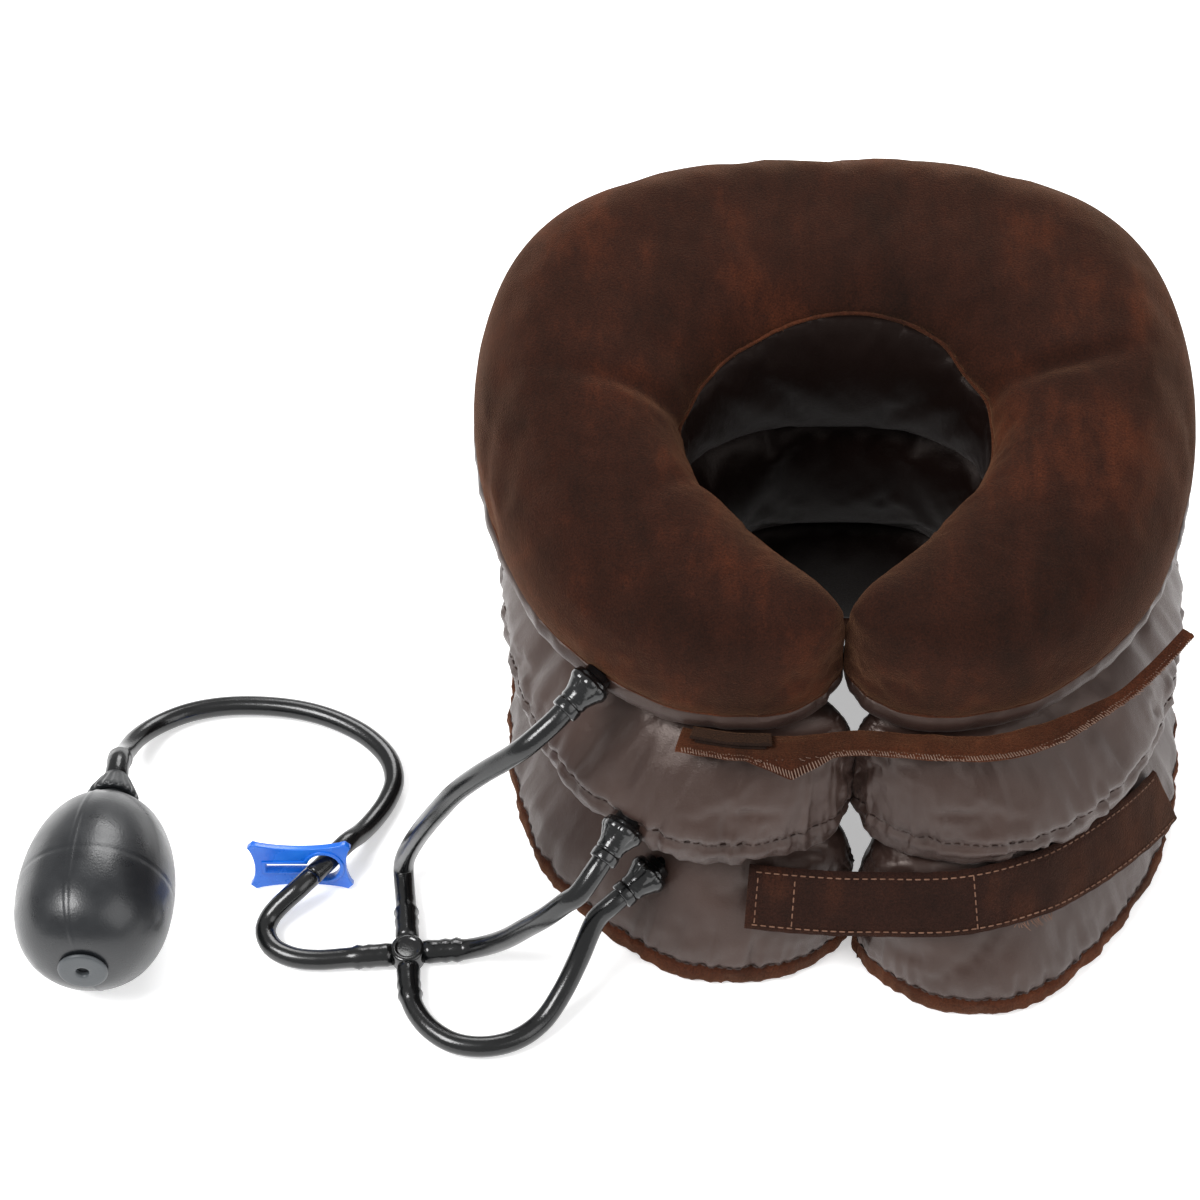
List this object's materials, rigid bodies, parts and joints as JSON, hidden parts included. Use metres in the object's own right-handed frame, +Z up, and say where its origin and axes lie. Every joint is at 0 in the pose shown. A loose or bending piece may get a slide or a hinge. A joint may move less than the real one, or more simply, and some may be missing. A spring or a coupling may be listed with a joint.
{
  "type": "inflatable cervical traction collar",
  "caption": "Inflatable neck traction collar: stacked C-shaped air tiers with a plush top and front straps, fed through a hub of hoses by a squeeze bulb with a release valve and a pinch clamp.",
  "frame": {"origin": "middle of the box round the collar, its fittings and the bulb, on the surface the collar stands on", "axes": "+Z up along the neck; -Y towards the front slit and the wearer's chin; +Y towards the nape; +X to the wearer's left, away from the bulb"},
  "size_m": [0.4273, 0.2735, 0.1967],
  "materials": {
    "velour": "short plush pile, dark brown with rust-coloured highlights",
    "satin": "smooth woven lining cloth with a soft sheen",
    "air_cell": "thin flexible film",
    "web": "plain woven",
    "strap": "plush pile with light topstitching and raw edges",
    "hook_pad": "hook tape",
    "loop_pad": "loop tape",
    "fitting": "moulded, glossy",
    "hose": "smooth, glossy",
    "bulb": "smooth moulded, semi-gloss",
    "valve": "moulded, satin",
    "valve_ball": "polished ball",
    "clamp": "moulded, semi-gloss"
  },
  "bodies": {
    "lower_tier": {"lower_tier_cover": "satin", "lower_velour_base": "velour", "lower_air_cell": "air_cell", "hose_to_upper_tier": "hose", "hose_to_middle_tier": "hose", "hose_to_lower_tier": "hose", "supply_hose_hub_side": "hose", "supply_hose_pinch_section": "hose", "supply_hose_bulb_side": "hose", "cross_connector": "fitting", "bulb_shell": "bulb", "outlet_valve_body": "valve", "lower_strap_loop_pad": "loop_pad"},
    "lower_inlet": {"lower_tier_fitting_nut": "fitting", "lower_tier_spigot": "fitting"},
    "middle_tier": {"middle_tier_cover": "satin", "middle_air_cell": "air_cell", "middle_tier_fitting_nut": "fitting", "middle_tier_spigot": "fitting", "lower_joining_web": "web"},
    "upper_tier": {"upper_tier_cover": "satin", "upper_velour_panel": "velour", "upper_air_cell": "air_cell", "upper_tier_fitting_nut": "fitting", "upper_tier_spigot": "fitting", "upper_joining_web": "web", "upper_strap_loop_pad": "loop_pad"},
    "lower_strap": {"lower_strap": "strap", "lower_strap_hook_pad": "hook_pad"},
    "upper_strap": {"upper_strap": "strap", "upper_strap_hook_pad": "hook_pad"},
    "pinch_clamp": {"pinch_clamp": "clamp"},
    "release_valve_cap": {"release_valve_cap": "valve"},
    "inlet_valve": {"inlet_valve_insert": "valve"},
    "inlet_ball": {"inlet_valve_ball": "valve_ball"},
    "outlet_ball": {"outlet_valve_ball": "valve_ball"}
  },
  "joints": [
    {"name": "middle_tier_drop", "type": "slide", "parent": "lower_tier", "child": "middle_tier", "axis": [0, 0, 1], "range_m": [-0.035, 0], "stiffness_N_per_m": 2000, "springref_m": 0.006, "deforming": ["lower_tier_cover", "lower_velour_base", "lower_air_cell", "middle_tier_cover", "middle_air_cell", "lower_joining_web", "hose_to_middle_tier", "hose_to_upper_tier", "hose_to_lower_tier", "lower_strap", "lower_strap_hook_pad", "lower_strap_loop_pad"]},
    {"name": "upper_tier_drop", "type": "slide", "parent": "lower_tier", "child": "upper_tier", "axis": [0, 0, 1], "range_m": [-0.07, 0], "deforming": ["upper_tier_cover", "upper_velour_panel", "upper_air_cell", "upper_joining_web", "upper_strap"]},
    {"name": "lower_inlet_drop", "type": "slide", "parent": "lower_tier", "child": "lower_inlet", "axis": [0, 0, 1], "range_m": [-0.0245, 0]},
    {"name": "lower_strap_peel", "type": "hinge", "parent": "lower_tier", "child": "lower_strap", "pos_m": [0.20335, -0.0466, 0.0254], "axis": [0, 0, 1], "range_deg": [0, 60], "deforming": ["lower_tier_cover", "lower_velour_base"]},
    {"name": "upper_strap_peel", "type": "hinge", "parent": "upper_tier", "child": "upper_strap", "pos_m": [0.19675, -0.0502, 0.125], "axis": [0, 0, 1], "range_deg": [0, 60], "deforming": ["upper_tier_cover", "upper_velour_panel", "middle_tier_cover"]},
    {"name": "pinch_clamp_slide", "type": "slide", "parent": "lower_tier", "child": "pinch_clamp", "axis": [1, 0, 0], "range_m": [0, 0.014], "deforming": ["supply_hose_pinch_section"]},
    {"name": "release_valve_turn", "type": "hinge", "parent": "lower_tier", "child": "release_valve_cap", "pos_m": [-0.18575, -0.0448, 0.0238], "axis": [0, 0.9962, -0.0872], "range_deg": [0, 270]},
    {"name": "bulb_press", "type": "slide", "parent": "lower_tier", "child": "inlet_valve", "axis": [0, 0.9962, -0.0872], "range_m": [0, 0.015], "stiffness_N_per_m": 300, "springref_m": -0.001, "deforming": ["bulb_shell"]},
    {"name": "inlet_ball_lift", "type": "slide", "parent": "inlet_valve", "child": "inlet_ball", "axis": [0, 0.9962, -0.0872], "range_m": [0, 0.001]},
    {"name": "outlet_ball_lift", "type": "slide", "parent": "lower_tier", "child": "outlet_ball", "axis": [0, 0.9962, -0.0872], "range_m": [0, 0.0008]}
  ],
  "couplings": [
    {"joint": "upper_tier_drop", "follows": "middle_tier_drop", "ratio": 2},
    {"joint": "lower_inlet_drop", "follows": "middle_tier_drop", "ratio": 0.7}
  ]
}
